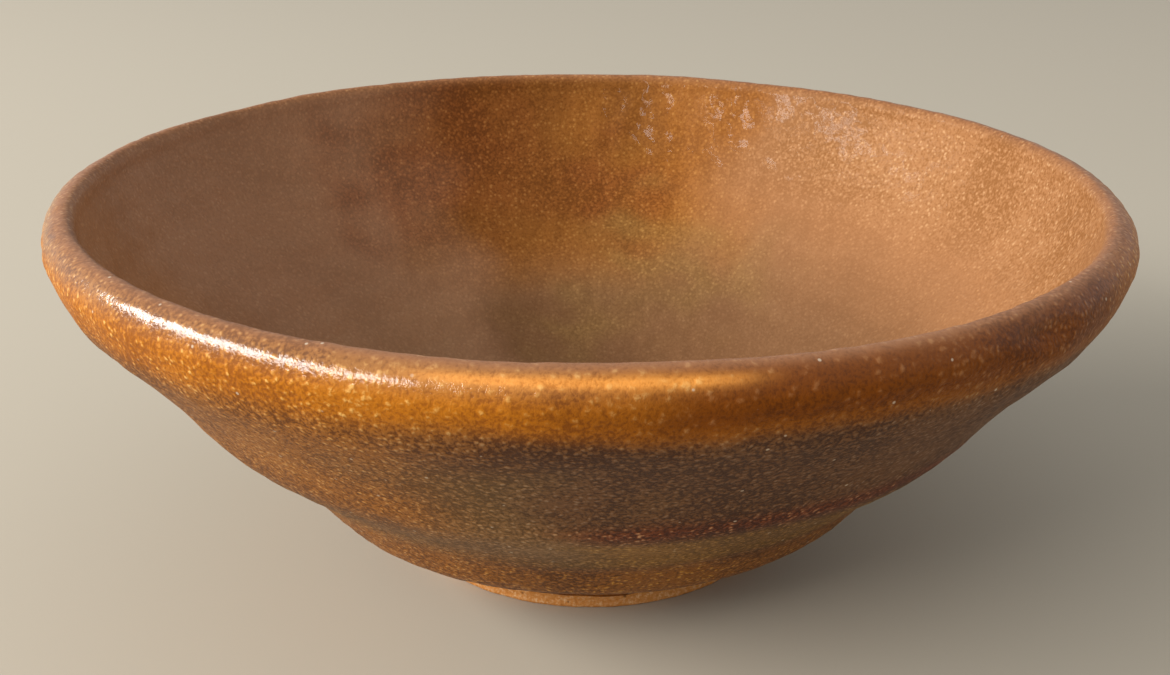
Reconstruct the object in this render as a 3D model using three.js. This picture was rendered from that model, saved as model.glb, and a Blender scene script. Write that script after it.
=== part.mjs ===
// A hand-thrown stoneware bowl of the four-sun size, with an amber iron glaze.
// Millimetres, +Z up. The origin is the centre of the foot ring, on the surface that the bowl stands on.
//
// A fired bowl is one piece of clay under a coat of glass. Each layer here is a solid of revolution:
//   stoneware_body      the thrown and trimmed clay: wall, lip, floor and foot ring
//   glaze_coat          the glaze over the outside, the lip and the inside
//   foot_recess_glaze   the glaze inside the foot ring, which the bare standing rim parts from the rest
import * as THREE from "three";

// Outer shape, measured over the glaze
const rimRadius = 60.5;
const bowlHeight = 44.8;
const footRadius = 22.0;

// Lip: how far its crown lies inside the rim, how tall its rounding is outside and inside, and its whole width
const crownInset = 2.6;
const lipDrop = 3.3;
const lipInnerDrop = 1.8;
const lipWidth = 3.8;

// Outside wall: the corners where its straight stretches would meet, and how far each one's rounding reaches.
// From the foot up: the underside spreads to a heel, the wall hollows a little above it, the trimming of the clay
// stopped half way up, and over a slight waist the wall swells into a collar.
const footJoint = { radius: 22.2, height: 2.45, rounding: 0.5 };
const heel = { radius: 32.9, height: 8.3, rounding: 2.2 };
const hollow = { radius: 38.6, height: 15.6, rounding: 4.0 };
const trimmedTo = { radius: 46.3, height: 21.7, rounding: 2.8 };
const waist = { radius: 51.4, height: 28.8, rounding: 4.0 };
const collarFrom = { radius: 59.2, height: 37.4, rounding: 2.2 };

// Inside: a shallow well in the middle, then a wall that keeps its distance from the outside
const floorHeight = 7.4;
const wellRadius = 33.0;
const wellRimHeight = 15.6;
const wellFlat = 12;
const wellLean = { out: 8.6, up: 7.5 };
const innerWallLean = { out: 12.6, up: 11.2 };
const innerRimLean = { out: 3.9, up: 10.6 };

// Foot ring, cut into the underside, with its side and its standing rim left bare and its outer edge bevelled
const glazeLine = 1.8;
const footBevel = { across: 0.25, up: 0.3 };
const standingRimWidth = 4.2;
const standingRimEase = 0.35;
const recessDepth = 3.0;
const recessCorner = 1.1;
const recessGlazeLine = 0.9;

const glazeThickness = 0.45;
// The glaze thins out to nothing over this length where it stops at the foot
const glazeTaper = 1.6;

const turns = 56;
const innerWallSteps = 11;
const lipSteps = 5;
const wellSteps = 6;
const cornerSteps = 3;
const recessCornerSteps = 3;

const point = (radius, height) => new THREE.Vector2(radius, height);

// The glazed surface, from its edge at the foot, up the outside, over the lip and down to the middle of the floor.
function glazedSurface() {
  const lipHeight = bowlHeight - lipDrop;
  const innerLipHeight = bowlHeight - lipInnerDrop;
  const crownRadius = rimRadius - crownInset;
  const innerRadius = rimRadius - lipWidth;
  const outside = corneredWall(
    point(footRadius, glazeLine),
    [footJoint, heel, hollow, trimmedTo, waist, collarFrom],
    point(rimRadius, lipHeight),
  );
  const lipOutside = new THREE.EllipseCurve(
    crownRadius, lipHeight, rimRadius - crownRadius, lipDrop, 0, Math.PI / 2,
  );
  const lipInside = new THREE.EllipseCurve(
    crownRadius, innerLipHeight, crownRadius - innerRadius, lipInnerDrop, Math.PI / 2, Math.PI,
  );
  const inside = new THREE.CubicBezierCurve(
    point(innerRadius, innerLipHeight),
    point(innerRadius - innerRimLean.out, innerLipHeight - innerRimLean.up),
    point(wellRadius + innerWallLean.out, wellRimHeight + innerWallLean.up),
    point(wellRadius, wellRimHeight),
  );
  const well = new THREE.CubicBezierCurve(
    point(wellRadius, wellRimHeight),
    point(wellRadius - wellLean.out, wellRimHeight - wellLean.up),
    point(wellFlat, floorHeight),
    point(0, floorHeight),
  );
  return joined([
    ...outside,
    [lipOutside, lipSteps],
    [lipInside, lipSteps],
    [inside, innerWallSteps],
    [well, wellSteps],
  ]);
}

// The glazed surface inside the foot ring, from the middle out to its edge on the ring's inner side.
function recessSurface() {
  const ringInside = footRadius - footBevel.across - standingRimWidth;
  const ceiling = recessDepth - glazeThickness;
  return [
    point(0, ceiling),
    ...roundedCorner(ringInside - glazeThickness, ceiling, recessCorner),
    point(ringInside, recessGlazeLine),
  ];
}

// Straight stretches from start to end with a rounding at each corner, as curves with their numbers of steps.
function corneredWall(start, corners, end) {
  const stops = [start, ...corners.map(({ radius, height }) => point(radius, height)), end];
  const stretches = [];
  let from = start;
  corners.forEach(({ rounding }, i) => {
    const [before, corner, after] = stops.slice(i, i + 3);
    const roundingStart = towards(corner, before, rounding);
    const roundingEnd = towards(corner, after, rounding);
    stretches.push([new THREE.LineCurve(from, roundingStart), 1]);
    stretches.push([new THREE.QuadraticBezierCurve(roundingStart, corner, roundingEnd), cornerSteps]);
    from = roundingEnd;
  });
  stretches.push([new THREE.LineCurve(from, end), 1]);
  return stretches;
}

function towards(from, to, distance) {
  return to.clone().sub(from).setLength(distance).add(from);
}

// Points along curves laid end to end, with no point twice.
function joined(stretches) {
  return stretches.flatMap(([curve, steps], i) => curve.getPoints(steps).slice(i ? 1 : 0));
}

// A quarter circle that turns from a ceiling down into the side at this radius.
function roundedCorner(radius, height, corner) {
  const quarter = new THREE.EllipseCurve(
    radius - corner, height - corner, corner, corner, Math.PI / 2, 0, true,
  );
  return quarter.getPoints(recessCornerSteps);
}

// The clay under a glazed surface, which lies to the left of the way that the surface's points run.
// Every point moves in along the normal by the glaze's thickness there, which is nothing at its edge.
function clayUnder(surface, edge) {
  const last = surface.length - 1;
  return surface.map((p, i) => {
    const along = surface[Math.min(i + 1, last)].clone().sub(surface[Math.max(i - 1, 0)]).normalize();
    const depth = glazeThickness * Math.min(1, p.distanceTo(edge) / glazeTaper);
    const inward = p.x === 0 ? point(0, Math.sign(along.x)) : point(-along.y, along.x);
    return p.clone().addScaledVector(inward, depth);
  });
}

// A closed solid of revolution about +Z from a profile that starts and ends on the axis or on itself.
function turned(profile) {
  const geometry = new THREE.LatheGeometry(profile, turns);
  return geometry.rotateX(Math.PI / 2);
}

function named(name, profile, material) {
  const mesh = new THREE.Mesh(turned(profile), material);
  mesh.name = name;
  return mesh;
}

const clay = new THREE.MeshStandardMaterial({ color: 0xc98d5a, roughness: 0.9, metalness: 0 });
const amberGlaze = new THREE.MeshStandardMaterial({ color: 0x9a5a24, roughness: 0.32, metalness: 0 });

const glazeTop = glazedSurface();
const clayTop = clayUnder(glazeTop, glazeTop[0]);
const recessTop = recessSurface();
const recessClay = clayUnder(recessTop, recessTop[recessTop.length - 1]);

// The standing rim, between the recess and the outside, with its inner edge eased
const standingOuter = footRadius - footBevel.across;
const standingRim = [
  point(standingOuter - standingRimWidth + standingRimEase, 0),
  point(standingOuter, 0),
  point(footRadius, footBevel.up),
];

const bowl = new THREE.Group();
bowl.add(named("stoneware_body", [...recessClay, ...standingRim, ...clayTop], clay));
bowl.add(named("glaze_coat", [...glazeTop, ...clayTop.slice(1).reverse(), glazeTop[0]], amberGlaze));
bowl.add(named("foot_recess_glaze", [...recessTop, ...recessClay.slice(0, -1).reverse()], amberGlaze));

export default bowl;
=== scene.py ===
# A hand-thrown stoneware bowl of the four-sun size, under an amber iron glaze.
# Metres, +Z up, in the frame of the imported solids. Shapes are worked out in millimetres and scaled at the
# end. Angles run round from +X, and the front of the bowl is at -90 degrees.
import math

import bpy
import numpy as np
from mathutils import Euler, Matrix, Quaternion, Vector


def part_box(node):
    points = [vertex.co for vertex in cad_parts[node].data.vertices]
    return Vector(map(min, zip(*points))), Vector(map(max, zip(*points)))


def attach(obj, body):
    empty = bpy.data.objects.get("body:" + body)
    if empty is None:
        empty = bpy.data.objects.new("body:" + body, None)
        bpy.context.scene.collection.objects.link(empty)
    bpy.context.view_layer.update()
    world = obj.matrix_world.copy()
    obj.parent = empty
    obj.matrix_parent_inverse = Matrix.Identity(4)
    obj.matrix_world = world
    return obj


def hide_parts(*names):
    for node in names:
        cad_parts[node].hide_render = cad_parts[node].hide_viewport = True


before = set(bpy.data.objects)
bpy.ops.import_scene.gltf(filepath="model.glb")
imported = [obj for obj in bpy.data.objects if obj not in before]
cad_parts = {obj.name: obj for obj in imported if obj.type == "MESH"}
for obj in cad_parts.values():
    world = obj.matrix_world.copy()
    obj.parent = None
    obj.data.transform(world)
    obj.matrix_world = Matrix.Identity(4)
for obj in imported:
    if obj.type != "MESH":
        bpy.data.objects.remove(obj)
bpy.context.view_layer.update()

MM = 0.001

# The solids' own size
RIM_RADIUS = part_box("glaze_coat")[1][0] / MM
BOWL_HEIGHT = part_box("glaze_coat")[1][2] / MM

# Lip: how far its crown lies inside the rim, how tall its rounding is outside and inside, and its whole width
CROWN_INSET = 2.6
LIP_DROP = 3.3
LIP_INNER_DROP = 1.8
LIP_WIDTH = 3.8

# Outside wall: radius, height and reach of the rounding at each corner between its straight stretches
FOOT_RADIUS = 22.0
GLAZE_LINE = 1.8
FOOT_JOINT = (22.2, 2.45, 0.5)
HEEL = (32.9, 8.3, 2.2)
HOLLOW = (38.6, 15.6, 4.0)
TRIMMED_TO = (46.3, 21.7, 2.8)
WAIST = (51.4, 28.8, 4.0)
COLLAR_FROM = (59.2, 37.4, 2.2)

# Inside: the well in the middle and the wall round it
FLOOR_HEIGHT = 7.4
WELL_RADIUS = 33.0
WELL_RIM_HEIGHT = 15.6
WELL_FLAT = 12.0
WELL_LEAN = (8.6, 7.5)
INNER_WALL_LEAN = (12.6, 11.2)
INNER_RIM_LEAN = (3.9, 10.6)

# Foot ring: its side and its standing rim are bare, and the recess inside it is glazed
FOOT_BEVEL = (0.25, 0.3)
FOOT_BARE_TO = 1.2
STANDING_RIM_WIDTH = 4.2
STANDING_RIM_EASE = 0.35
EDGE_ROUNDING = 0.3
RECESS_DEPTH = 3.0
RECESS_CORNER = 1.1
RECESS_GLAZE_LINE = 0.9

GLAZE_THICKNESS = 0.45
GLAZE_TAPER = 1.6

# The bowl out of true: its rim leans down to +X and is a little out of round
RIM_LEAN = 0.0144
OUT_OF_ROUND = 0.0022
OUT_OF_ROUND_TURN = math.radians(35)

# Points along each curve of the profiles, and samples taken to space the rings along one
STRETCH_STEPS = 40
ROUNDING_STEPS = 30
QUARTER_STEPS = 40
FOOT_SIDE_STEPS = 10
INNER_WALL_STEPS = 160
WELL_STEPS = 120
CEILING_STEPS = 60
RECESS_SIDE_STEPS = 20
SPACING_SAMPLES = 4000

# Points round the bowl, and rows of them along each face
SEGMENTS = 480
GLAZE_FACE_ROWS = 178
GLAZE_BACK_ROWS = 24
CLAY_CEILING_ROWS = 24
STANDING_RIM_ROWS = 48
CLAY_WALL_ROWS = 84
POOL_FACE_ROWS = 60
POOL_BACK_ROWS = 14

# One seed for each random field
SEED = {
    "glaze edge": 3,
    "edge drips": 4,
    "finger rings": 11,
    "trimming lines": 12,
    "uneven clay": 14,
    "dimples": 21,
    "runs": 23,
    "worn rim": 31,
    "uneven rim": 32,
    "pool dimples": 41,
    "zones": 51,
    "blooms across": 61,
    "blooms along": 62,
}

# The camera, fitted to the reference view: millimetres and degrees
CAMERA_PLACE = (-0.7, -164.5, 89.0)
CAMERA_PITCH = 21.46
CAMERA_ROLL = -0.17
CAMERA_LENS = 44.92
CAMERA_SENSOR = 36.0
CAMERA_NEAREST = 10.0


def lengths(points):
    """Length along a row of points, from the first to each."""
    return np.concatenate([[0.0], np.cumsum(np.hypot(*np.diff(points, axis=0).T))])


def curve(controls, steps):
    """Bezier curve of any degree, by halving between its controls until one row is left."""
    t = np.linspace(0, 1, steps)[:, None]
    rows = [np.broadcast_to(np.array(control, float), (steps, 2)) for control in controls]
    while len(rows) > 1:
        rows = [a + (b - a) * t for a, b in zip(rows, rows[1:])]
    return rows[0]


def quarter(centre, width, height, start, end):
    """A quarter of an ellipse: the centre, plus the cosine times its width and the sine times its height."""
    angle = np.linspace(start, end, QUARTER_STEPS)
    return np.stack([centre[0] + width * np.cos(angle), centre[1] + height * np.sin(angle)], -1)


def laid_end_to_end(*rows):
    """One row of points from several, with no point twice where they meet."""
    return np.concatenate([rows[0], *[row[1:] for row in rows[1:]]])


def cornered(start, corners, end):
    """Straight stretches from start to end. At each corner a quadratic curve rounds it off, and reaches the
    corner's own distance along both stretches."""
    stops = [np.array(start), *[np.array(corner[:2]) for corner in corners], np.array(end)]
    rows = [np.array([start])]
    for before, middle, after, (_, _, reach) in zip(stops, stops[1:], stops[2:], corners):
        into = middle + (before - middle) * reach / np.hypot(*(before - middle))
        out_of = middle + (after - middle) * reach / np.hypot(*(after - middle))
        rows.append(curve([rows[-1][-1], into], STRETCH_STEPS))
        rows.append(curve([into, middle, out_of], ROUNDING_STEPS))
    return laid_end_to_end(*rows, curve([rows[-1][-1], end], STRETCH_STEPS))


class Profile:
    """A row of radius and height points with the solid on its left, read by length along it."""

    def __init__(self, points):
        self.points = points
        self.length = lengths(points)
        step = np.gradient(points, axis=0)
        normal = np.stack([step[:, 1], -step[:, 0]], -1)
        self.normal = normal / np.linalg.norm(normal, axis=1, keepdims=True)

    def at(self, length, lift=0.0):
        """Radius and height at a length along, moved out along the normal by lift."""
        radius, height = (np.interp(length, self.length, self.points[:, i]) for i in (0, 1))
        across, up = (np.interp(length, self.length, self.normal[:, i]) for i in (0, 1))
        return radius + across * lift, height + up * lift

    def spaced(self, spacing, count):
        """Lengths along, whose steps follow spacing, a function of the length."""
        fine = np.linspace(0, self.length[-1], SPACING_SAMPLES)
        cost = np.cumsum(np.diff(fine) / spacing((fine[1:] + fine[:-1]) / 2))
        cost = np.concatenate([[0], cost])
        return np.interp(np.linspace(0, cost[-1], count), cost, fine)

    def evenly(self, count):
        """Lengths along, in even steps."""
        return np.linspace(0, self.length[-1], count)


def skin_profile():
    """The glazed surface from the foot's side, up the outside, over the lip and down to the middle of the
    floor. The second result is the length along it to the lip's crown."""
    lip_height = BOWL_HEIGHT - LIP_DROP
    inner_lip_height = BOWL_HEIGHT - LIP_INNER_DROP
    crown = RIM_RADIUS - CROWN_INSET
    inner = RIM_RADIUS - LIP_WIDTH
    foot_side = curve([(FOOT_RADIUS, FOOT_BARE_TO), (FOOT_RADIUS, GLAZE_LINE)], FOOT_SIDE_STEPS)
    corners = [FOOT_JOINT, HEEL, HOLLOW, TRIMMED_TO, WAIST, COLLAR_FROM]
    outside = cornered(foot_side[-1], corners, (RIM_RADIUS, lip_height))
    lip_outside = quarter((crown, lip_height), CROWN_INSET, LIP_DROP, 0, math.pi / 2)
    to_crown = laid_end_to_end(foot_side, outside, lip_outside)
    lip_inside = quarter((crown, inner_lip_height), crown - inner, LIP_INNER_DROP, math.pi / 2, math.pi)
    inside = curve([
        (inner, inner_lip_height),
        (inner - INNER_RIM_LEAN[0], inner_lip_height - INNER_RIM_LEAN[1]),
        (WELL_RADIUS + INNER_WALL_LEAN[0], WELL_RIM_HEIGHT + INNER_WALL_LEAN[1]),
        (WELL_RADIUS, WELL_RIM_HEIGHT),
    ], INNER_WALL_STEPS)
    well = curve([
        (WELL_RADIUS, WELL_RIM_HEIGHT),
        (WELL_RADIUS - WELL_LEAN[0], WELL_RIM_HEIGHT - WELL_LEAN[1]),
        (WELL_FLAT, FLOOR_HEIGHT),
        (0, FLOOR_HEIGHT),
    ], WELL_STEPS)
    return Profile(laid_end_to_end(to_crown, lip_inside, inside, well)), lengths(to_crown)[-1]


def recess_profile():
    """The glazed surface of the recess, from its middle out and down to the bare rim's inner side."""
    side = FOOT_RADIUS - FOOT_BEVEL[0] - STANDING_RIM_WIDTH
    ceiling = RECESS_DEPTH - GLAZE_THICKNESS
    bend = side - GLAZE_THICKNESS - RECESS_CORNER
    flat = curve([(0, ceiling), (bend, ceiling)], CEILING_STEPS)
    corner = quarter((bend, ceiling - RECESS_CORNER), RECESS_CORNER, RECESS_CORNER, math.pi / 2, 0)
    down = curve([corner[-1], (side, RECESS_GLAZE_LINE)], RECESS_SIDE_STEPS)
    return Profile(laid_end_to_end(flat, corner, down))


def standing_profile():
    """The bare rim that the bowl stands on, from the recess's edge to the foot's side."""
    outer = FOOT_RADIUS - FOOT_BEVEL[0]
    inner = outer - STANDING_RIM_WIDTH
    corners = [
        (inner + STANDING_RIM_EASE, 0, EDGE_ROUNDING),
        (outer, 0, EDGE_ROUNDING / 2),
        (FOOT_RADIUS, FOOT_BEVEL[1], EDGE_ROUNDING / 2),
    ]
    return Profile(cornered((inner, RECESS_GLAZE_LINE), corners, (FOOT_RADIUS, FOOT_BARE_TO)))


SKIN, CROWN = skin_profile()
RECESS = recess_profile()
STANDING = standing_profile()
FLOOR_MIDDLE = SKIN.length[-1]
ANGLE = np.linspace(0, 2 * np.pi, SEGMENTS, endpoint=False)

# The least and the most waves that a random field fits into its size, in each of its directions
WAVE_SPREAD = (0.75, 1.35)


def ripple(xyz, size, seed, waves=28):
    """A smooth random field of about -1 to 1: the sum of plane waves about one size long, in random
    directions, over the root of their number."""
    rng = np.random.default_rng(seed)
    way = rng.normal(size=(waves, 3))
    number = rng.uniform(*WAVE_SPREAD, (waves, 1)) * 2 * np.pi / size
    way *= number / np.linalg.norm(way, axis=1, keepdims=True)
    phase = rng.uniform(0, 2 * np.pi, waves)
    total = sum(np.cos(xyz @ k + p) for k, p in zip(way, phase))
    return total / math.sqrt(waves)


def bell(distance, width):
    """One at no distance, falling smoothly to almost nothing at twice the width."""
    return np.exp(-((distance / width) ** 2))


def ease(value, low, high):
    """Nought below low, one above high, and a smooth S between."""
    t = np.clip((value - low) / (high - low), 0, 1)
    return t * t * (3 - 2 * t)


def turned_off(degrees, waver=0.0):
    """How far round the bowl each point lies from this way, from minus half a turn to half a turn."""
    return np.angle(np.exp(1j * (ANGLE + waver - math.radians(degrees))))


def swung(profile, length, lift=0.0):
    """Points of the surface that a profile sweeps about +Z: one ring of them for every row of lengths, where
    each length is read along the profile and moved out along its normal by lift."""
    length = np.broadcast_to(length, (len(length), SEGMENTS))
    radius, height = profile.at(length, lift)
    return np.stack([radius * np.cos(ANGLE), radius * np.sin(ANGLE), height], -1)


def out_of_true(xyz):
    """Heights fall towards +X in step with the radius. Radii swell and shrink twice round, and more with
    height."""
    x, y, z = np.moveaxis(xyz, -1, 0)
    swell = 1 + OUT_OF_ROUND * z / BOWL_HEIGHT * np.cos(2 * (np.arctan2(y, x) - OUT_OF_ROUND_TURN))
    return np.stack([x * swell, y * swell, z * (1 - RIM_LEAN * x / RIM_RADIUS)], -1)


# Where the glaze starts, as a length along the skin, then how far its slow and its fine waver go, and the
# size of each
EDGE_AT = 0.5
EDGE_WAVER = (0.16, 16)
EDGE_DRIPS = (0.07, 4)


def glaze_edge():
    """Length along the skin at which the glaze starts, all round: its place plus a slow and a fine waver."""
    ring = FOOT_RADIUS * np.stack([np.cos(ANGLE), np.sin(ANGLE), 0 * ANGLE], -1)
    slow = EDGE_WAVER[0] * ripple(ring, EDGE_WAVER[1], SEED["glaze edge"])
    fine = EDGE_DRIPS[0] * ripple(ring, EDGE_DRIPS[1], SEED["edge drips"])
    return EDGE_AT + slow + fine


# Finger rings: their pitch and height, how far past the crown they come in, at what radius they end, and how
# far they wander, in radians
RING_PITCH = 5.6
RING_HEIGHT = 0.06
RING_START = (4, 12)
RING_END = (2, 14)
RING_WANDER = 0.6
RING_WANDER_SIZE = 45

# Trimming lines: their pitch and height, how soon they end at the top, where they start above the foot, and
# the size of their wandering
TRIM_PITCH = 1.7
TRIM_HEIGHT = 0.03
TRIM_END = 1.2
TRIM_START = (1, 3)
TRIM_WANDER_SIZE = 30

# Slow unevenness of the clay, and the lengths between which it comes in above the foot
SLOW_SIZE = 26
SLOW_HEIGHT = 0.08
SLOW_START = (1, 6)

# The knock in the collar: its place, depth and slant, and how wide and tall it is. Below it is a ridge, which
# has a share of its depth.
KNOCK_ANGLE = -48
KNOCK_HEIGHT = 42.6
KNOCK_DEPTH = 0.8
KNOCK_SLANT = 0.8
KNOCK_WIDTH = 4.2
KNOCK_TALL = 1.2
RIDGE_BELOW = 2.4
RIDGE_SHARE = 0.45
RIDGE_TALL = 1.0

# The lengths short of the crown over which marks on the outside die away
OUTSIDE_END = (1.5, 0.5)


def clay_marks(length):
    """Height of the marks in the clay: a spiral of finger rings inside, fine trimming lines on the lower
    wall, slow unevenness all over, and one knock in the collar with a ridge pushed up below it. Rings and
    lines are cosines along the profile, and the knock and its ridge are bells."""
    rest = swung(SKIN, length)
    radius, height = np.hypot(rest[..., 0], rest[..., 1]), rest[..., 2]
    inside = ease(length, CROWN + RING_START[0], CROWN + RING_START[1]) * ease(radius, *RING_END)
    wander = RING_WANDER * ripple(rest, RING_WANDER_SIZE, SEED["finger rings"])
    rings = RING_HEIGHT * inside * np.cos(2 * np.pi * length / RING_PITCH + ANGLE + wander)
    outside = 1 - ease(length, CROWN - OUTSIDE_END[0], CROWN - OUTSIDE_END[1])
    below_line = 1 - ease(height, TRIMMED_TO[1] - TRIM_END, TRIMMED_TO[1])
    trimmed = outside * below_line * ease(length, *TRIM_START)
    wander = ripple(rest, TRIM_WANDER_SIZE, SEED["trimming lines"])
    lines = TRIM_HEIGHT * trimmed * np.cos(2 * np.pi * length / TRIM_PITCH + wander)
    above = height - KNOCK_HEIGHT
    around = turned_off(KNOCK_ANGLE) * RIM_RADIUS
    knock = outside * KNOCK_DEPTH * bell(around + KNOCK_SLANT * above, KNOCK_WIDTH)
    dent = knock * (RIDGE_SHARE * bell(above + RIDGE_BELOW, RIDGE_TALL) - bell(above, KNOCK_TALL))
    slow = SLOW_HEIGHT * ripple(rest, SLOW_SIZE, SEED["uneven clay"]) * ease(length, *SLOW_START)
    return rings + lines + dent + slow


# The glaze's own relief. The bead swells over its root and sinks away over its tail.
BEAD_HEIGHT = 0.14
BEAD_ROOT = 0.5
BEAD_TAIL = 1.3

# Dimples: their size, their height outside and inside, how far past the crown they grow, the lengths from the
# glaze's edge between which they come in, and the waves in their field
PEEL_SIZE = 2.9
PEEL_OUTSIDE = 0.03
PEEL_INSIDE = 0.07
PEEL_GROWS = 6
PEEL_START = (0.3, 3)
PEEL_WAVES = 48

# Runs down the collar: their height and size, how far below the crown their middle is and how far they reach
# from it, and the squeeze along each axis that makes them longer than wide
RUN_HEIGHT = 0.05
RUN_SIZE = 6
RUN_BELOW = 9
RUN_REACH = 7
RUN_STRETCH = (1, 1, 0.22)


def glaze_relief(length, edge):
    """Height of the glaze over its even coat: a rolled bead along its lower edge, dimples like orange peel,
    and runs down the collar."""
    rest = swung(SKIN, length)
    past = np.maximum(length - edge, 0)
    bead = BEAD_HEIGHT * (1 - bell(past, BEAD_ROOT)) * np.exp(-past / BEAD_TAIL)
    peel = PEEL_OUTSIDE + (PEEL_INSIDE - PEEL_OUTSIDE) * ease(length, CROWN, CROWN + PEEL_GROWS)
    dimples = ripple(rest, PEEL_SIZE, SEED["dimples"], PEEL_WAVES)
    dimples = peel * ease(past, *PEEL_START) * dimples
    runs = ripple(rest * RUN_STRETCH, RUN_SIZE, SEED["runs"])
    runs = RUN_HEIGHT * bell(length - CROWN + RUN_BELOW, RUN_REACH) * runs
    return bead + dimples + runs


def closed_skin(name, rings, first_pole, last_pole):
    """A closed shell from rings of points, each ring joined to the next by quads and the first and last
    drawn together to a pole by triangles. The way from ring to ring has the solid on its left, so faces
    point out."""
    index = np.arange(rings.shape[0] * SEGMENTS).reshape(-1, SEGMENTS)
    first, last = index.size, index.size + 1
    low, high = index[:-1], index[1:]
    quads = np.stack([low, np.roll(low, -1, 1), np.roll(high, -1, 1), high], -1).reshape(-1, 4)
    start = np.stack([np.full(SEGMENTS, first), np.roll(index[0], -1), index[0]], -1)
    end = np.stack([index[-1], np.roll(index[-1], -1), np.full(SEGMENTS, last)], -1)
    points = np.concatenate([rings.reshape(-1, 3), [first_pole, last_pole]]) * MM
    corners = np.concatenate([quads.ravel(), start.ravel(), end.ravel()]).astype(np.int32)
    sizes = np.concatenate([np.full(len(quads), 4), np.full(2 * SEGMENTS, 3)])
    mesh = bpy.data.meshes.new(name)
    mesh.vertices.add(len(points))
    mesh.vertices.foreach_set("co", points.ravel())
    mesh.loops.add(len(corners))
    mesh.loops.foreach_set("vertex_index", corners)
    mesh.polygons.add(len(sizes))
    mesh.polygons.foreach_set("loop_start", (np.cumsum(sizes) - sizes).astype(np.int32))
    mesh.update(calc_edges=True)
    mesh.shade_smooth()
    piece = bpy.data.objects.new(name, mesh)
    bpy.context.collection.objects.link(piece)
    return piece


def paint(piece, name, values):
    """Keeps one number for every point of a piece, for its material to read by name. The two poles, which
    come last, take the number of the ring beside them."""
    values = np.concatenate([np.asarray(values, np.float32).ravel(), np.zeros(2, np.float32)])
    values[-2:] = values[0], values[-3]
    piece.data.attributes.new(name, "FLOAT", "POINT").data.foreach_set("value", values)


# Spacing of the glaze's rings, and how much closer they lie at its edge and over the lip
GLAZE_SPACING = 0.85
EDGE_CLOSER = 0.7
EDGE_REACH = 1.2
LIP_CLOSER = 0.5
LIP_SHORT_OF_CROWN = 1.5
LIP_REACH = 5

# The length from the edge over which the glaze's rings even out, and where its under face starts and ends
EDGE_EVENS_OUT = 4
BACK_FROM_MIDDLE = 2
BACK_ENDS_AT = 3

# Spacing of the clay's wall rings just above the foot, and how much wider they lie higher up
WALL_SPACING = 0.12
WALL_WIDER = 1.9
WALL_WIDENS = (1, 6)

# Spacing of the recess's rings, in its clay and in its glaze, how much closer they lie in its corner, and the
# lengths between which that comes about
CEILING_SPACING = 1.2
CEILING_CLOSER = 0.9
POOL_SPACING = 0.5
POOL_CLOSER = 0.3
RECESS_BEND = (15, 18)

# Wear of the standing rim: how far it moves points, as a share of their radius, and its size in millimetres
RIM_WORN = (0.0012, 1.1)
RIM_UNEVEN = (0.0016, 5)

# The recess's glaze: the spiral left by a finger, where it starts and ends, and the glaze's dimples
SWIRL_HEIGHT = 0.05
SWIRL_PITCH = 2.4
SWIRL_START = (0.5, 3)
SWIRL_END = (1.5, 3)
POOL_PEEL = -0.04
POOL_PEEL_END = (0.4, 2)
POOL_WAVES = 40


def glaze_rows():
    """Lengths along the skin for the glaze's rings: close at its edge and over the lip."""
    def spacing(length):
        at_edge = EDGE_CLOSER * bell(length - EDGE_AT, EDGE_REACH)
        at_lip = LIP_CLOSER * bell(length - CROWN + LIP_SHORT_OF_CROWN, LIP_REACH)
        return GLAZE_SPACING - at_edge - at_lip
    return SKIN.spaced(spacing, GLAZE_FACE_ROWS)


def dressed(length, lift):
    """The skin's surface at these lengths with the clay's marks and this lift, out of true."""
    return out_of_true(swung(SKIN, length, clay_marks(length) + lift))


def clay_depth(past):
    """How deep the clay lies under the glaze's even surface: nothing at the glaze's edge, and growing evenly
    with the length past it to the glaze's thickness."""
    return GLAZE_THICKNESS * np.clip(past / GLAZE_TAPER, 0, 1)


def make_glaze_coat():
    """The glaze over the outside, the lip and the inside: its under face from the floor's middle to its edge
    at the foot, then its glazed face back to the floor's middle."""
    edge = glaze_edge()
    rows = glaze_rows()
    start = np.clip(1 - rows / EDGE_EVENS_OUT, 0, 1)[:, None] ** 2
    over = (rows[:, None] + edge * start)[:-1]
    under = np.linspace(FLOOR_MIDDLE - BACK_FROM_MIDDLE, BACK_ENDS_AT, GLAZE_BACK_ROWS)
    under = np.broadcast_to(under[:, None], (GLAZE_BACK_ROWS, SEGMENTS))
    under_face = dressed(under, -clay_depth(under - edge))
    face = dressed(over, glaze_relief(over, edge))
    poles = (0, 0, FLOOR_HEIGHT - GLAZE_THICKNESS), (0, 0, face[-1, :, 2].mean())
    piece = closed_skin("amber_glaze", np.concatenate([under_face, face]), *poles)
    paint_zones(piece, np.concatenate([under, over]))
    return piece


def worn(rim):
    """The standing rim with its points moved out and in by two random fields, one of them fine."""
    fine = RIM_WORN[0] * ripple(rim, RIM_WORN[1], SEED["worn rim"])
    slow = RIM_UNEVEN[0] * ripple(rim, RIM_UNEVEN[1], SEED["uneven rim"])
    return rim + rim * (fine + slow)[..., None] * (1, 1, 0)


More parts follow.
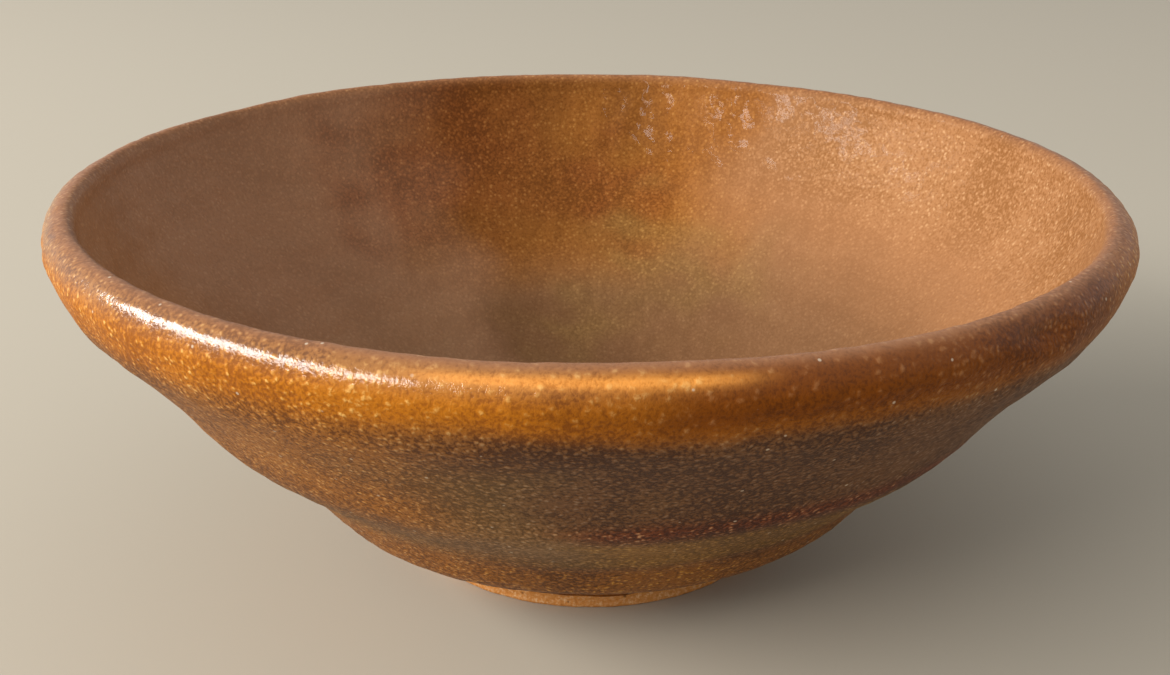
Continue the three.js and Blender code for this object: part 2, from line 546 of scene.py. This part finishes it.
def make_clay_body():
    """The clay: the recess's ceiling from its middle, the bare standing rim, and the wall under the glaze."""
    def in_recess(length):
        return CEILING_SPACING - CEILING_CLOSER * ease(length, *RECESS_BEND)

    def up_wall(length):
        return WALL_SPACING + WALL_WIDER * ease(length, *WALL_WIDENS)

    ceiling_rows = RECESS.spaced(in_recess, CLAY_CEILING_ROWS)[1:, None]
    ceiling = swung(RECESS, ceiling_rows, -clay_depth(RECESS.length[-1] - ceiling_rows))
    rim_rows = STANDING.evenly(STANDING_RIM_ROWS)[1:-1, None]
    rim = worn(out_of_true(swung(STANDING, rim_rows)))
    wall_rows = SKIN.spaced(up_wall, CLAY_WALL_ROWS)[:-1, None]
    wall = dressed(wall_rows, -clay_depth(wall_rows - glaze_edge()))
    rings = np.concatenate([out_of_true(ceiling), rim, wall])
    poles = (0, 0, RECESS_DEPTH), (0, 0, FLOOR_HEIGHT - GLAZE_THICKNESS)
    return closed_skin("thrown_clay", rings, *poles)


def make_recess_glaze():
    """The glaze inside the foot ring, from its middle to its edge and back along the clay. Its face swirls as
    a cosine along the profile that turns once round the bowl."""
    def in_recess(length):
        return POOL_SPACING - POOL_CLOSER * ease(length, *RECESS_BEND)

    rows = RECESS.spaced(in_recess, POOL_FACE_ROWS)[1:, None]
    past = RECESS.length[-1] - rows
    swirl = SWIRL_HEIGHT * np.cos(2 * np.pi * rows / SWIRL_PITCH + ANGLE)
    swirl = swirl * ease(rows, *SWIRL_START) * ease(past, *SWIRL_END)
    dimples = ripple(swung(RECESS, rows), PEEL_SIZE, SEED["pool dimples"], POOL_WAVES)
    lower = swung(RECESS, rows, swirl + POOL_PEEL * dimples * ease(past, *POOL_PEEL_END))
    back = RECESS.evenly(POOL_BACK_ROWS)[1:-1][::-1, None]
    upper = swung(RECESS, back, -clay_depth(RECESS.length[-1] - back))
    poles = (0, 0, lower[0, :, 2].mean()), (0, 0, RECESS_DEPTH)
    return closed_skin("recess_glaze_pool", np.concatenate([lower, upper]), *poles)


# Blooms in the glaze inside: angle round the bowl in degrees, radius, width round and width across
IRON_BLOOMS = [(109, 53, 12, 9), (126, 49, 9, 6), (86, 47, 8, 4)]
OLIVE_BLOOMS = [(80, 41, 7, 4), (66, 38, 9, 4), (93, 31, 8, 4)]
IRON_STRENGTH = 0.5
OLIVE_STRENGTH = 0.4
BLOOM_RAGGED = 2.2
BLOOM_RAGGED_SIZE = 9

# The side of the bowl that a zone of the glaze keeps to: the way it faces, how far to each side it is whole
# and where it ends, in degrees, and how far its ends waver, in radians
SIDES = {
    "front": (-80, 15, 50, 0.0),
    "left": (-128, 19, 29, 0.05),
    "golden left": (-132, 16, 38, 0.07),
    "golden back": (72, 20, 52, 0.07),
    "tan": (-106, 6, 20, 0.07),
    "deep collar and shade": (-58, 19, 41, 0.05),
    "broad grain": (-80, 16, 34, 0.05),
    "amber back": (98, 22, 44, 0.07),
    "amber painted shade": (108, 15, 38, 0.07),
    "sunny": (18, 26, 52, 0.07),
    "shaded": (150, 18, 42, 0.06),
    "shaded low": (200, 15, 95, 0.06),
    "shoulder": (-140, 40, 65, 0.0),
    "lip edge highlight": (-91, 8, 17, 0.0),
    "glints": (60, 18, 34, 0.0),
    "lit": (-140, 36, 58, 0.0),
}

# The heights between which a zone comes in, and those between which it ends, going up
COMES_IN = {
    "olive band": (13.4, 15.6),
    "tan": (13, 17),
    "collar": (37.2, 40.4),
    "amber": (17, 26),
    "sunny": (27, 37),
    "glints": (30, 36),
}
ENDS = {
    "heel": (12.6, 15.2),
    "olive band": (20.8, 22.4),
    "tan": (31, 36),
    "well": (16, 31),
    "shaded well": (14, 26),
    "shaded low": (15, 27),
}

# Bands along the lip: how far short of the crown each has its middle, and its width
LIP_BANDS = {
    "shoulder": (1.6, 1.7),
    "lip": (0.2, 1.1),
    "lip edge highlight": (2.1, 0.55),
    "gloss": (2.2, 1.35),
    "calm": (0.5, 2),
}

# The random field that frays the zones: its size, and how far it moves them up and down
FRAY_SIZE = 14
FRAY_HEIGHT = 0.3

# Past the crown, the lengths between which the inside's colours take over from the outside's
INSIDE_FROM = (-0.2, 1.6)

# Single measures of the zones: heights and widths in millimetres, and shares of a zone's strength
STOPPING_LINE_HEIGHT = 23.5
STOPPING_LINE_WIDTH = 1.3
COLLAR_HIGHER_IN_FRONT = 0.5
GOLDEN_BACK_SHARE = 0.8
GOLDEN_GAP_HEIGHT = 18.5
GOLDEN_GAP_WIDTH = 3.5
GOLDEN_GAP_SHARE = 0.6
THIN_EDGE_END = (1.6, 4.2)
SHADE_ENDS_NEAR_AXIS = (5, 25)
CALM_INSIDE = 0.7
SUNNY_LESS_CALM = 0.5
LEAST_GLOSS = 0.02
LIP_GLOSS = 0.74
GLOSS_ALL_ROUND = 0.3


def blooms(rest, places):
    """Soft-edged patches at places on the bowl, with ragged outlines, from nought to one: the sum of a bell
    for each place, on coordinates pushed about by two random fields."""
    across = BLOOM_RAGGED * ripple(rest, BLOOM_RAGGED_SIZE, SEED["blooms across"])
    along = BLOOM_RAGGED * ripple(rest, BLOOM_RAGGED_SIZE, SEED["blooms along"])
    x, y = rest[..., 0] + across, rest[..., 1] + along
    total = 0
    for degrees, radius, width_round, width_across in places:
        turn = math.radians(degrees)
        outward = x * math.cos(turn) + y * math.sin(turn) - radius
        sideways = y * math.cos(turn) - x * math.sin(turn)
        total = total + bell(np.hypot(outward / width_across, sideways / width_round), 1)
    return np.clip(total, 0, 1)


def paint_zones(piece, length):
    """Zones of the glaze, as numbers from nought to one for its material: products of a side of the bowl,
    a range of heights and a band along the lip, each with soft ends."""
    rest = swung(SKIN, length)
    fray = ripple(rest, FRAY_SIZE, SEED["zones"])
    height = rest[..., 2] + FRAY_HEIGHT * fray

    def side(name):
        degrees, whole, none, waver = SIDES[name]
        off = np.abs(turned_off(degrees, waver * fray))
        return 1 - ease(off, math.radians(whole), math.radians(none))

    def above(name):
        return ease(height, *COMES_IN[name])

    def below(name):
        return 1 - ease(height, *ENDS[name])

    def on_lip(name):
        short_of_crown, width = LIP_BANDS[name]
        return bell(length - CROWN + short_of_crown, width)

    inside = ease(length, CROWN + INSIDE_FROM[0], CROWN + INSIDE_FROM[1])
    outside = 1 - inside
    line = bell(height - STOPPING_LINE_HEIGHT, STOPPING_LINE_WIDTH)
    # Painted light: the outside's left, which faces the window, is painted golden for the warm light on it.
    # The back right takes the same tone, less strongly.
    golden = side("golden left") + GOLDEN_BACK_SHARE * side("golden back")
    golden = golden * (1 - GOLDEN_GAP_SHARE * bell(height - GOLDEN_GAP_HEIGHT, GOLDEN_GAP_WIDTH))
    collar = outside * ease(height - COLLAR_HIGHER_IN_FRONT * side("front"), *COMES_IN["collar"])
    amber = inside * above("amber")
    # Painted light: the inside's right, where the window's light falls, is painted paler, with paler crests
    sunny = inside * side("sunny") * above("sunny")
    # Painted reflection: the inside's left, out of the window's light, is painted paler and pinker for the
    # milky sheen of the room seen in it, and so is the well below it
    shaded = np.maximum(side("shaded"), side("shaded low") * below("shaded low"))
    from_axis = np.hypot(rest[..., 0], rest[..., 1])
    shaded = inside * shaded * ease(from_axis, *SHADE_ENDS_NEAR_AXIS)
    lit = GLOSS_ALL_ROUND + (1 - GLOSS_ALL_ROUND) * side("lit")
    zones = {
        "stopping_line": outside * (1 - side("left")) * line,
        # An olive-brown band on the outside, below the line where the trimming stopped
        "olive_band": outside * above("olive band") * below("olive band"),
        "heel": outside * below("heel"),
        "tan": outside * side("tan") * above("tan") * below("tan"),
        "golden": outside * golden,
        "thin_edge": 1 - ease(length, *THIN_EDGE_END),
        "collar": collar,
        # The collar darker at the front right: partly the glaze's own deeper amber, partly painted shade for
        # the little light that comes from the front
        "deep_collar_and_shade": collar * side("deep collar and shade"),
        "broad_grain": collar * side("broad grain"),
        "inside": inside,
        "well": inside * below("well"),
        "amber_back": amber * side("amber back"),
        # Painted shade: the inside at the back is darkened where it turns from the window's light into shade
        "amber_painted_shade": amber * side("amber painted shade"),
        "sunny": sunny,
        "shaded": shaded,
        "shaded_well": shaded * below("shaded well"),
        "iron": IRON_STRENGTH * inside * blooms(rest, IRON_BLOOMS),
        "olive": OLIVE_STRENGTH * inside * blooms(rest, OLIVE_BLOOMS),
        "shoulder": on_lip("shoulder") * side("shoulder"),
        # The lip: the glaze's own brown, with a mauve cast painted in for the sheen of the bright room on its
        # top
        "lip": on_lip("lip"),
        # A painted highlight: a bright orange line along the lip's outer shoulder at the front, where the
        # window's light catches it
        "lip_edge_highlight": on_lip("lip edge highlight") * side("lip edge highlight"),
        "glints": inside * side("glints") * above("glints"),
        "gloss": LEAST_GLOSS + LIP_GLOSS * lit * on_lip("gloss"),
        "calm": np.maximum(CALM_INSIDE * inside - SUNNY_LESS_CALM * sunny, on_lip("calm")),
    }
    for name, values in zones.items():
        paint(piece, name, values)


class Finish:
    """A material's nodes. Each method adds a node and gives the socket that holds its result."""

    def __init__(self, name):
        self.material = bpy.data.materials.new(name)
        self.material.use_nodes = True
        self.tree = self.material.node_tree
        self.shader = self.tree.nodes["Principled BSDF"]
        self.coordinates = self.node("ShaderNodeTexCoord").outputs["Object"]

    def node(self, kind, settings=None, **inputs):
        """A node of this kind, with its settings set and its inputs fed by name."""
        made = self.tree.nodes.new(kind)
        for key, value in (settings or {}).items():
            setattr(made, key, value)
        for key, value in inputs.items():
            self.feed(made.inputs[key], value)
        return made

    def feed(self, socket, value):
        """Links a node's result to a socket, or sets the socket to a number or a colour."""
        if isinstance(value, bpy.types.NodeSocket):
            self.tree.links.new(value, socket)
        else:
            socket.default_value = value

    def shade(self, **sockets):
        """Feeds the shader's sockets, named with an underscore for each space."""
        for name, value in sockets.items():
            self.feed(self.shader.inputs[name.replace("_", " ")], value)

    def noise(self, size, detail=2.0, rough=0.5, where=None):
        """Cloudy noise, nought to one, with lumps of this size in millimetres."""
        made = self.node("ShaderNodeTexNoise", Scale=1 / (size * MM), Detail=detail, Roughness=rough)
        self.feed(made.inputs["Vector"], where or self.coordinates)
        return made.outputs["Fac"]

    def scattered(self, size, where=None):
        """Distance to the nearest of scattered points this far apart, in millimetres, as a share of it, and a
        number by chance from nought to one for each point."""
        made = self.node("ShaderNodeTexVoronoi", Scale=1 / (size * MM))
        self.feed(made.inputs["Vector"], where or self.coordinates)
        apart = self.node("ShaderNodeSeparateColor")
        self.feed(apart.inputs["Color"], made.outputs["Color"])
        return made.outputs["Distance"], apart.outputs["Red"]

    def dots(self, where, size, whole, gone, chances, faintest):
        """Round dots scattered this far apart: each is one out to the share whole of that and nought from
        gone on, times a strength that rises with the dot's own chance from faintest to one."""
        distance, chance = self.scattered(size, where)
        return self.times(self.rise(distance, whole, gone, 1, 0), self.rise(chance, *chances, faintest, 1))

    def bent(self, size, reach):
        """Coordinates pushed about by noise of this size, by up to half this reach, in millimetres."""
        noise = self.node("ShaderNodeTexNoise", Scale=1 / (size * MM), Detail=1.0)
        self.feed(noise.inputs["Vector"], self.coordinates)
        push = self.node("ShaderNodeVectorMath", {"operation": "MULTIPLY_ADD"})
        self.feed(push.inputs[0], noise.outputs["Color"])
        push.inputs[1].default_value = [reach * MM] * 3
        self.feed(push.inputs[2], self.coordinates)
        return push.outputs["Vector"]

    def zone(self, name):
        """The number that paint kept under this name."""
        return self.node("ShaderNodeAttribute", {"attribute_name": name}).outputs["Fac"]

    def maths(self, operation, a, b):
        made = self.node("ShaderNodeMath", {"operation": operation})
        self.feed(made.inputs[0], a)
        self.feed(made.inputs[1], b)
        return made.outputs[0]

    def times(self, a, b):
        return self.maths("MULTIPLY", a, b)

    def plus(self, a, b):
        return self.maths("ADD", a, b)

    def rise(self, value, low, high, to_low=0.0, to_high=1.0):
        """A smooth step from to_low to to_high as value goes from low to high."""
        made = self.node("ShaderNodeMapRange", {"interpolation_type": "SMOOTHSTEP"})
        for key, number in (("From Min", low), ("From Max", high), ("To Min", to_low), ("To Max", to_high)):
            made.inputs[key].default_value = number
        self.feed(made.inputs["Value"], value)
        return made.outputs["Result"]

    def blend(self, amount, a, b, kind="FLOAT"):
        """A number between a and b, or of another kind, such as a colour."""
        made = self.node("ShaderNodeMix", {"data_type": kind})
        self.feed(made.inputs["Factor"], amount)
        self.feed(made.inputs["A"], a)
        self.feed(made.inputs["B"], b)
        return made.outputs["Result"]

    def mix(self, amount, a, b):
        """A colour between a and b."""
        return self.blend(amount, a, b, "RGBA")

    def shades(self, value, *stops):
        """Colours along a value, each stop a place and a colour."""
        made = self.node("ShaderNodeValToRGB", Fac=value)
        ramp = made.color_ramp
        while len(ramp.elements) < len(stops):
            ramp.elements.new(0.5)
        for element, (place, colour) in zip(ramp.elements, stops):
            element.position = place
            element.color = colour
        return made.outputs["Color"]

    def bump(self, height, depth, before=None):
        """Normals tilted by a height field, whose whole range stands for this depth in millimetres."""
        made = self.node("ShaderNodeBump", Height=height, Distance=depth * MM)
        if before is not None:
            self.feed(made.inputs["Normal"], before)
        return made.outputs["Normal"]

    def dress(self, piece, slot):
        """Gives a piece this material alone. The slot it is given is not used."""
        piece.data.materials.clear()
        piece.data.materials.append(self.material)


def linear(code):
    """A colour written as its screen code, in the linear numbers that shaders use, and opaque."""
    share = [int(code[i:i + 2], 16) / 255 for i in (1, 3, 5)]
    return (*(c / 12.92 if c <= 0.04045 else ((c + 0.055) / 1.055) ** 2.4 for c in share), 1)


# The glaze's colours by zone: in its pits, on its level ground, and on the crests of its grain.
# Each zone is laid over the ones before it, and the wall lies under them all.
GLAZE_TONES = {
    "wall": ("#44281a", "#6e482a", "#86664c"),
    "stopping_line": ("#40170a", "#733617", "#c48e60"),
    "olive_band": ("#5b3c13", "#8a6029", "#bd8d45"),
    "heel": ("#502a0a", "#88521b", "#c28935"),
    "tan": ("#5e4222", "#86623a", "#a88660"),
    # Golden tone: painted light on the left, which faces the window
    "golden": ("#683a14", "#9e6224", "#cc9450"),
    "thin_edge": ("#a0622c", "#c07c3a", "#d69650"),
    "collar": ("#945210", "#b66c14", "#e2ac5c"),
    # Deeper amber and painted shade at the front right of the collar
    "deep_collar_and_shade": ("#582904", "#743a04", "#966034"),
    "inside": ("#986842", "#a06f48", "#ad7b51"),
    "well": ("#714e32", "#785437", "#815d3e"),
    "amber_back": ("#87501c", "#9b6026", "#b07738"),
    # Painted shade inside at the back, where the light gives way to shade
    "amber_painted_shade": ("#6f4115", "#804f1e", "#92622d"),
    # Painted light on the inside's lit right
    "sunny": ("#8c5c32", "#a6744a", "#c29468"),
    # Painted reflection: the milky sheen on the inside's shaded left and in the well below it
    "shaded": ("#976e50", "#a17555", "#ab7f5d"),
    "shaded_well": ("#9a7353", "#a37a58", "#ac8361"),
    "iron": ("#54240f", "#7a3c1a", "#9a6034"),
    "olive": ("#785c30", "#8e6e3c", "#a8864c"),
    "shoulder": ("#6a3c14", "#9a642c", "#cc9858"),
    # Brown of the lip, with a painted sheen of mauve
    "lip": ("#80563a", "#936444", "#a87a54"),
    # Painted highlight along the lip's outer shoulder at the front
    "lip_edge_highlight": ("#c47828", "#e29440", "#f0b464"),
}
PITS, GROUND, CRESTS = 0, 1, 2
SPECK_WHITE = linear("#c8b49c")
DARK_IRON = linear("#3a1c0e")
RECESS_BROWN = linear("#6c3a1c")
RECESS_AMBER = linear("#a06a30")
BARE_CLAY = linear("#cc8a48")
PALE_CLAY = linear("#e8c496")
DUSTY_CLAY = linear("#b4712f")
FLOOR_COLOUR = linear("#b3aa99")

# A noise is written as the size of its lumps in millimetres, then its detail and its roughness where they
# aren't the usual ones. A rise is written as the two values that it starts and ends at, then what it gives
# there, unless that is nought and one. Roughness that follows a pattern is written as a rise.

# The glaze's grain, and what bends it, as a size and a reach
GRAIN_NOISE = (0.36, 3, 0.6)
GRAIN_RISE = (0.25, 0.75)
BEND_SIZE = 0.9
BEND_REACH = 0.3

# Dots in the grain: how far apart, the shares of that out to which each is whole and at which it is gone, and
# the chances between which the dots go from their faintest to full strength
FINE_DOTS = {"size": 0.62, "whole": 0.1, "gone": 0.55, "chances": (0.0, 0.7), "faintest": 0.25}
BROAD_DOTS = {"size": 0.95, "whole": 0.04, "gone": 0.55, "chances": (0.0, 0.8), "faintest": 0.45}
WHITE_SPECKS = {"size": 1.3, "whole": 0.08, "gone": 0.16, "chances": (0.9, 0.93), "faintest": 0.0}
SPECK_STRENGTH = 0.8

# Shares of the grain and the dots in the glaze's height, then the same at the front of the collar and the
# least height there
GRAIN_SHARE = 0.36
FINE_SHARE = 0.44
BROAD_SHARE = 0.2
FRONT_GRAIN_SHARE = 0.3
FRONT_BROAD_SHARE = 0.38
FRONT_LEAST = 0.12

# Clouds that lighten and darken the grain, and the tones over which one level's colours turn into the next's
CLOUD_SIZE = 13
CLOUD_RISE = (0.3, 0.7, -0.09, 0.09)
PITS_TO_GROUND = (0.06, 0.34)
GROUND_TO_CRESTS = (0.34, 0.8)

# The glaze's gloss and relief. Depths of bumps are in millimetres.
GLAZE_ROUGHNESS = (0.1, 0.7, 0.5, 0.38)
GLAZE_SPECULAR = 0.16
GLAZE_SPECULAR_TINT = (1.0, 0.72, 0.42, 1)
COAT_IOR = 1.65
COAT_ROUGHNESS = 0.1
CALM_RELIEF = 0.25
GLAZE_BUMP = 0.12
COAT_BUMP = 0.06

# Blisters at the back right, the patches that they keep to, and their depth and gloss
PATCH_NOISE = (4.5, 1.0)
PATCH_RISE = (0.46, 0.58)
PATCH_GLOSS = 0.1
BLISTER_NOISE = (2.4, 0.5)
BLISTER_BUMP = 0.8


def laid_over(f, level):
    """One level of the glaze's grain, pits, ground or crests, in the colours of all its zones."""
    (_, ground), *zones = GLAZE_TONES.items()
    colour = linear(ground[level])
    for zone, tones in zones:
        colour = f.mix(f.zone(zone), colour, linear(tones[level]))
    return colour


def glaze_grain(f):
    """Height of the glaze's grain: fine noise with fine and broad dots, on bent coordinates. At the front of
    the collar the fine dots give way to broad ones."""
    bent = f.bent(BEND_SIZE, BEND_REACH)
    grain = f.rise(f.noise(*GRAIN_NOISE, bent), *GRAIN_RISE)
    fine = f.dots(bent, **FINE_DOTS)
    broad = f.dots(bent, **BROAD_DOTS)
    height = f.plus(f.times(grain, GRAIN_SHARE), f.times(fine, FINE_SHARE))
    height = f.plus(height, f.times(broad, BROAD_SHARE))
    front = f.plus(f.times(grain, FRONT_GRAIN_SHARE), f.times(broad, FRONT_BROAD_SHARE))
    return f.blend(f.zone("broad_grain"), height, f.plus(front, FRONT_LEAST))


def glaze_colour(f, height):
    """The glaze's colour by the height of its grain, lifted and sunk by clouds: from pits to level ground to
    crests. White specks lie over it outside."""
    tone = f.plus(height, f.rise(f.noise(CLOUD_SIZE), *CLOUD_RISE))
    colour = f.mix(f.rise(tone, *PITS_TO_GROUND), laid_over(f, PITS), laid_over(f, GROUND))
    colour = f.mix(f.rise(tone, *GROUND_TO_CRESTS), colour, laid_over(f, CRESTS))
    outside = f.rise(f.zone("inside"), 0, 1, SPECK_STRENGTH, 0)
    return f.mix(f.times(f.dots(None, **WHITE_SPECKS), outside), colour, SPECK_WHITE)


def amber_finish():
    """The glaze: grain whose crests are thin and pale over sand in the clay and whose pits are dark with
    iron, in colours that change by zone, under a clear gloss that is thickest round the lip. A few faint
    blisters lie at the back right."""
    f = Finish("amber_iron_glaze")
    height = glaze_grain(f)
    relief = f.times(height, f.rise(f.zone("calm"), 0, 1, 1, CALM_RELIEF))
    patches = f.times(f.rise(f.noise(*PATCH_NOISE), *PATCH_RISE), f.zone("glints"))
    blisters = f.times(f.noise(*BLISTER_NOISE), patches)
    f.shade(
        Base_Color=glaze_colour(f, height),
        Roughness=f.rise(height, *GLAZE_ROUGHNESS),
        Specular_IOR_Level=GLAZE_SPECULAR,
        Specular_Tint=GLAZE_SPECULAR_TINT,
        Coat_Weight=f.plus(f.zone("gloss"), f.times(patches, PATCH_GLOSS)),
        Coat_IOR=COAT_IOR,
        Coat_Roughness=COAT_ROUGHNESS,
        Normal=f.bump(relief, GLAZE_BUMP),
        Coat_Normal=f.bump(blisters, BLISTER_BUMP, f.bump(relief, COAT_BUMP)),
    )
    return f


# The recess's glaze: its mottling, and the colours, roughness and bump that go with it
MOTTLE_NOISE = (0.8, 3, 0.6)
MOTTLE_COLOURS = ((0.3, DARK_IRON), (0.5, RECESS_BROWN), (0.75, RECESS_AMBER))
MOTTLE_ROUGHNESS = (0.3, 0.7, 0.35, 0.5)
MOTTLE_BUMP = 0.1


def recess_finish():
    """The thinner, browner glaze inside the foot ring."""
    f = Finish("brown_iron_glaze")
    tone = f.noise(*MOTTLE_NOISE)
    f.shade(
        Base_Color=f.shades(tone, *MOTTLE_COLOURS),
        Roughness=f.rise(tone, *MOTTLE_ROUGHNESS),
        Normal=f.bump(tone, MOTTLE_BUMP),
    )
    return f


# Bare clay: its sand, the dusty patches over it and the dark specks in it
SAND_NOISE = (0.4, 4, 0.7)
SAND_COLOURS = ((0.3, DUSTY_CLAY), (0.5, BARE_CLAY), (0.72, PALE_CLAY))
SAND_ROUGHNESS = (0.3, 0.7, 0.75, 0.95)
SAND_SPECULAR = 0.25
SAND_BUMP = 0.12
DUST_SIZE = 6
DUST_RISE = (0.35, 0.7, 0, 0.35)
IRON_SPECK_SPACING = 1.6
IRON_SPECK_RISE = (0.06, 0.16, 1, 0)
IRON_SPECK_STRENGTH = 0.7


def clay_finish():
    """Bare fired clay: sandy, with dusty patches and fine dark iron specks."""
    f = Finish("bare_fired_clay")
    sand = f.noise(*SAND_NOISE)
    dust = f.rise(f.noise(DUST_SIZE), *DUST_RISE)
    distance, _ = f.scattered(IRON_SPECK_SPACING)
    specks = f.times(f.rise(distance, *IRON_SPECK_RISE), IRON_SPECK_STRENGTH)
    colour = f.mix(dust, f.shades(sand, *SAND_COLOURS), DUSTY_CLAY)
    f.shade(
        Base_Color=f.mix(specks, colour, DARK_IRON),
        Roughness=f.rise(sand, *SAND_ROUGHNESS),
        Specular_IOR_Level=SAND_SPECULAR,
        Normal=f.bump(sand, SAND_BUMP),
    )
    return f


# Surroundings, in metres: the floor's size, the one window-like panel, and the light of the room
FLOOR_SIZE = 3.0
FLOOR_ROUGHNESS = 0.9
WINDOW_PLACE = (-0.91, -0.31, 0.57)
WINDOW_SIZE = (1.4, 0.24)
WINDOW_WATTS = 21.0
WINDOW_COLOUR = (1.0, 0.98, 0.95)
ROOM_COLOUR = (0.98, 0.99, 1.0, 1)
ROOM_STRENGTH = 0.6


def make_floor():
    """A plain pale floor, which is no part of the bowl."""
    bpy.ops.mesh.primitive_plane_add(size=FLOOR_SIZE)
    floor = bpy.context.object
    floor.name = "floor"
    f = Finish("plain_floor")
    f.shade(Base_Color=FLOOR_COLOUR, Roughness=FLOOR_ROUGHNESS)
    floor.data.materials.append(f.material)


def make_camera():
    """A camera that looks down at the bowl from the front, pitched first and then rolled."""
    data = bpy.data.cameras.new("camera")
    data.lens = CAMERA_LENS
    data.sensor_width = CAMERA_SENSOR
    data.clip_start = CAMERA_NEAREST * MM
    camera = bpy.data.objects.new("camera", data)
    camera.location = [c * MM for c in CAMERA_PLACE]
    pitched = Euler((math.radians(90 - CAMERA_PITCH), 0, 0)).to_quaternion()
    camera.rotation_euler = (pitched @ Quaternion((0, 0, 1), math.radians(CAMERA_ROLL))).to_euler()
    bpy.context.collection.objects.link(camera)
    bpy.context.scene.camera = camera


def make_window():
    """A soft rectangular light, aimed at the middle of the bowl."""
    data = bpy.data.lights.new("window", "AREA")
    data.shape = "RECTANGLE"
    data.size, data.size_y = WINDOW_SIZE
    data.energy = WINDOW_WATTS
    data.color = WINDOW_COLOUR
    panel = bpy.data.objects.new("window", data)
    panel.location = WINDOW_PLACE
    aim = Vector((0, 0, BOWL_HEIGHT * MM / 2)) - Vector(WINDOW_PLACE)
    panel.rotation_euler = aim.to_track_quat("-Z", "Y").to_euler()
    panel.visible_camera = False
    bpy.context.collection.objects.link(panel)


def make_room():
    """Even light from all round."""
    world = bpy.data.worlds.new("soft_room")
    world.use_nodes = True
    sky = world.node_tree.nodes["Background"].inputs
    sky["Color"].default_value = ROOM_COLOUR
    sky["Strength"].default_value = ROOM_STRENGTH
    bpy.context.scene.world = world


make_camera()
make_window()
make_room()
make_floor()

glaze = make_glaze_coat()
clay = make_clay_body()
recess = make_recess_glaze()
for piece, node in ((glaze, "glaze_coat"), (clay, "stoneware_body"), (recess, "foot_recess_glaze")):
    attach(piece, "root")
    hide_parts(node)
amber_finish().dress(glaze, "amber_glaze")
clay_finish().dress(clay, "bare_stoneware")
recess_finish().dress(recess, "recess_glaze")

bpy.context.scene.view_settings.view_transform = "Standard"
